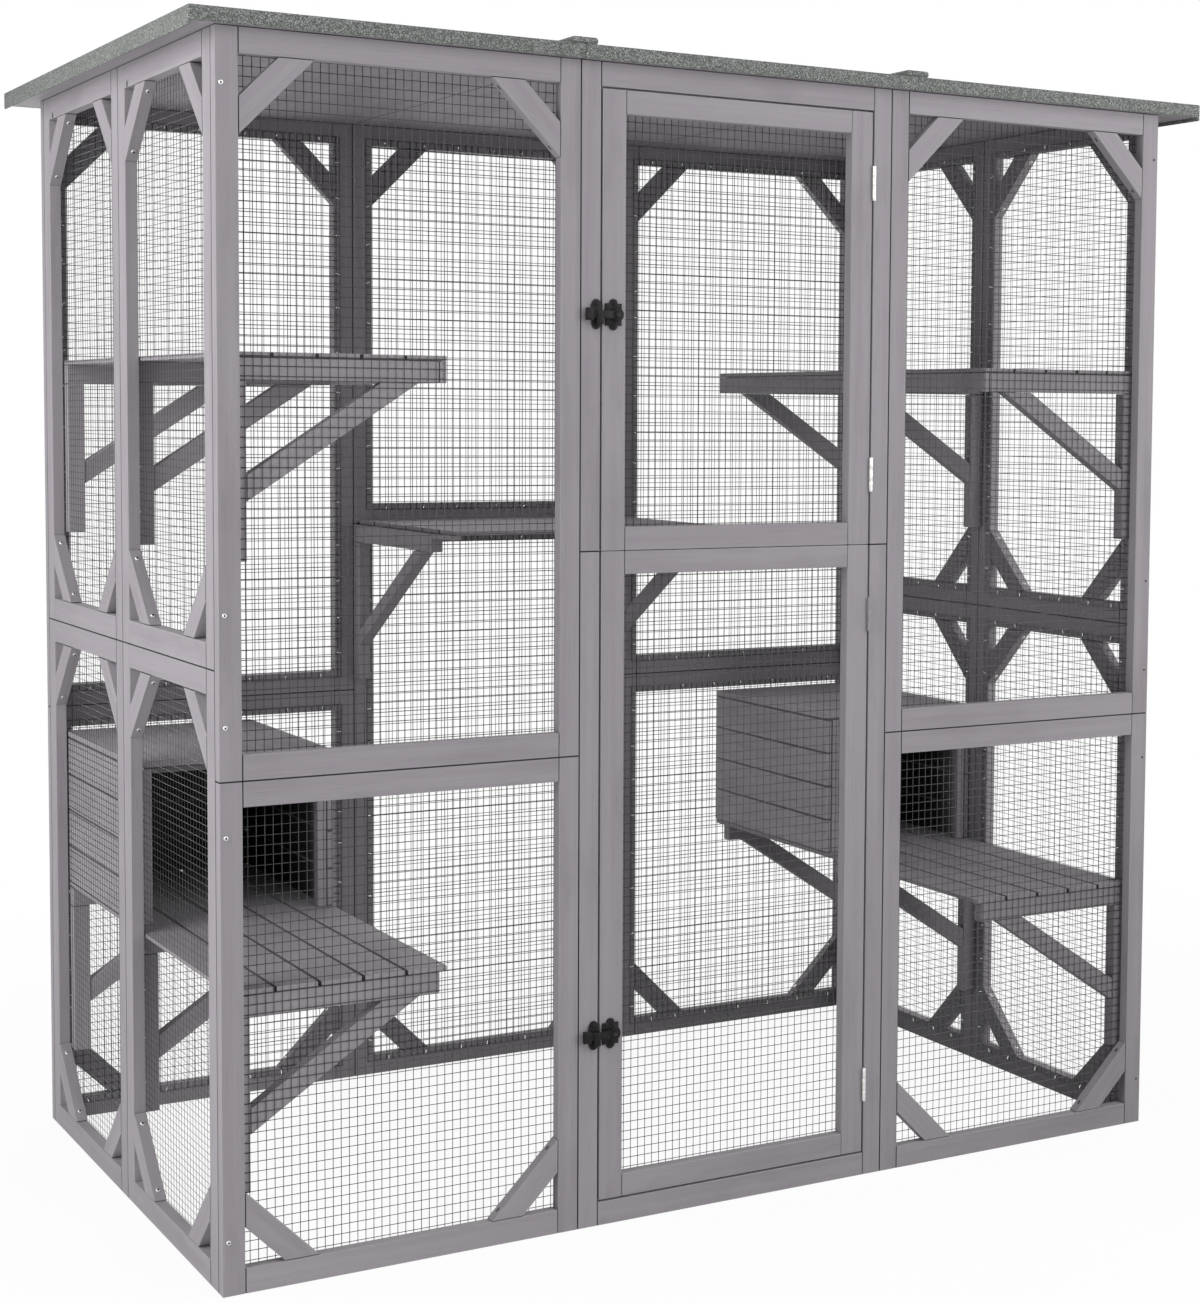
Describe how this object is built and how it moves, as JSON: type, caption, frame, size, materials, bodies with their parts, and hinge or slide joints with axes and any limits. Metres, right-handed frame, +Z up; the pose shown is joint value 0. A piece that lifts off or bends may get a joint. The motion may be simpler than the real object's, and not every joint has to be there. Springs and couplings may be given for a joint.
{
  "type": "outdoor cat enclosure",
  "caption": "Tall outdoor cat run of painted wooden wire panels with stacked mesh doors, a felted flat roof, shelves, decks and sleeping boxes.",
  "frame": {"origin": "on the ground under the middle of the roof", "axes": "+Z up, +X to the right along the front, the door front towards -Y"},
  "size_m": [1.826, 1.092, 1.844],
  "materials": {
    "painted_wood": "thin matt grey paint over softwood grain",
    "wire": "black coated welded wire",
    "felt": "grey-green mineral roofing felt",
    "zinc": "bright zinc plate",
    "black_metal": "black powder coat"
  },
  "bodies": {
    "enclosure": {"back_left_frames": "painted_wood", "back_left_meshes": "wire", "back_middle_frames": "painted_wood", "back_middle_meshes": "wire", "back_right_frames": "painted_wood", "back_right_meshes": "wire", "corner_screws": "zinc", "door_surround_lower": "painted_wood", "door_surround_upper": "painted_wood", "front_left_lower_frame": "painted_wood", "front_left_lower_mesh": "wire", "front_left_upper_frame": "painted_wood", "front_left_upper_mesh": "wire", "front_right_lower_frame": "painted_wood", "front_right_lower_mesh": "wire", "front_right_upper_frame": "painted_wood", "front_right_upper_mesh": "wire", "left_box_front": "painted_wood", "left_box_top": "painted_wood", "left_box_walls": "painted_wood", "left_deck_brackets": "painted_wood", "left_deck_planks": "painted_wood", "left_shelf_brackets": "painted_wood", "left_shelf_planks": "painted_wood", "left_wall_lower_frames": "painted_wood", "left_wall_lower_meshes": "wire", "left_wall_upper_frames": "painted_wood", "left_wall_upper_meshes": "wire", "lower_hinge_frame_leaves": "zinc", "lower_hinge_pins": "zinc", "lower_latch_keeper": "black_metal", "middle_shelf_brackets": "painted_wood", "middle_shelf_planks": "painted_wood", "right_box_front": "painted_wood", "right_box_top": "painted_wood", "right_box_walls": "painted_wood", "right_deck_brackets": "painted_wood", "right_deck_planks": "painted_wood", "right_shelf_brackets": "painted_wood", "right_shelf_planks": "painted_wood", "right_wall_lower_frames": "painted_wood", "right_wall_lower_meshes": "wire", "right_wall_upper_frames": "painted_wood", "right_wall_upper_meshes": "wire", "roof_battens": "felt", "roof_boards": "painted_wood", "roof_felts": "felt", "upper_hinge_frame_leaves": "zinc", "upper_hinge_pins": "zinc", "upper_latch_keeper": "black_metal"},
    "upper_door": {"upper_door_frame": "painted_wood", "upper_door_mesh": "wire", "upper_hinge_door_leaves": "zinc", "upper_latch_plate": "black_metal"},
    "lower_door": {"lower_door_frame": "painted_wood", "lower_door_mesh": "wire", "lower_hinge_door_leaves": "zinc", "lower_latch_plate": "black_metal"},
    "upper_latch": {"upper_latch_lever": "black_metal"},
    "lower_latch": {"lower_latch_lever": "black_metal"}
  },
  "joints": [
    {"name": "lower_door_swing", "type": "hinge", "parent": "enclosure", "child": "lower_door", "pos_m": [0.2253, -0.5372, 0.748], "axis": [0, 0, 1], "range_deg": [0, 165]},
    {"name": "lower_latch_lift", "type": "hinge", "parent": "lower_door", "child": "lower_latch", "pos_m": [-0.246, -0.542, 0.306], "axis": [0, 1, 0], "range_deg": [0, 90]},
    {"name": "upper_door_swing", "type": "hinge", "parent": "enclosure", "child": "upper_door", "pos_m": [0.2253, -0.5372, 0.748], "axis": [0, 0, 1], "range_deg": [0, 165]},
    {"name": "upper_latch_lift", "type": "hinge", "parent": "upper_door", "child": "upper_latch", "pos_m": [-0.246, -0.542, 1.428], "axis": [0, 1, 0], "range_deg": [0, 90]}
  ]
}
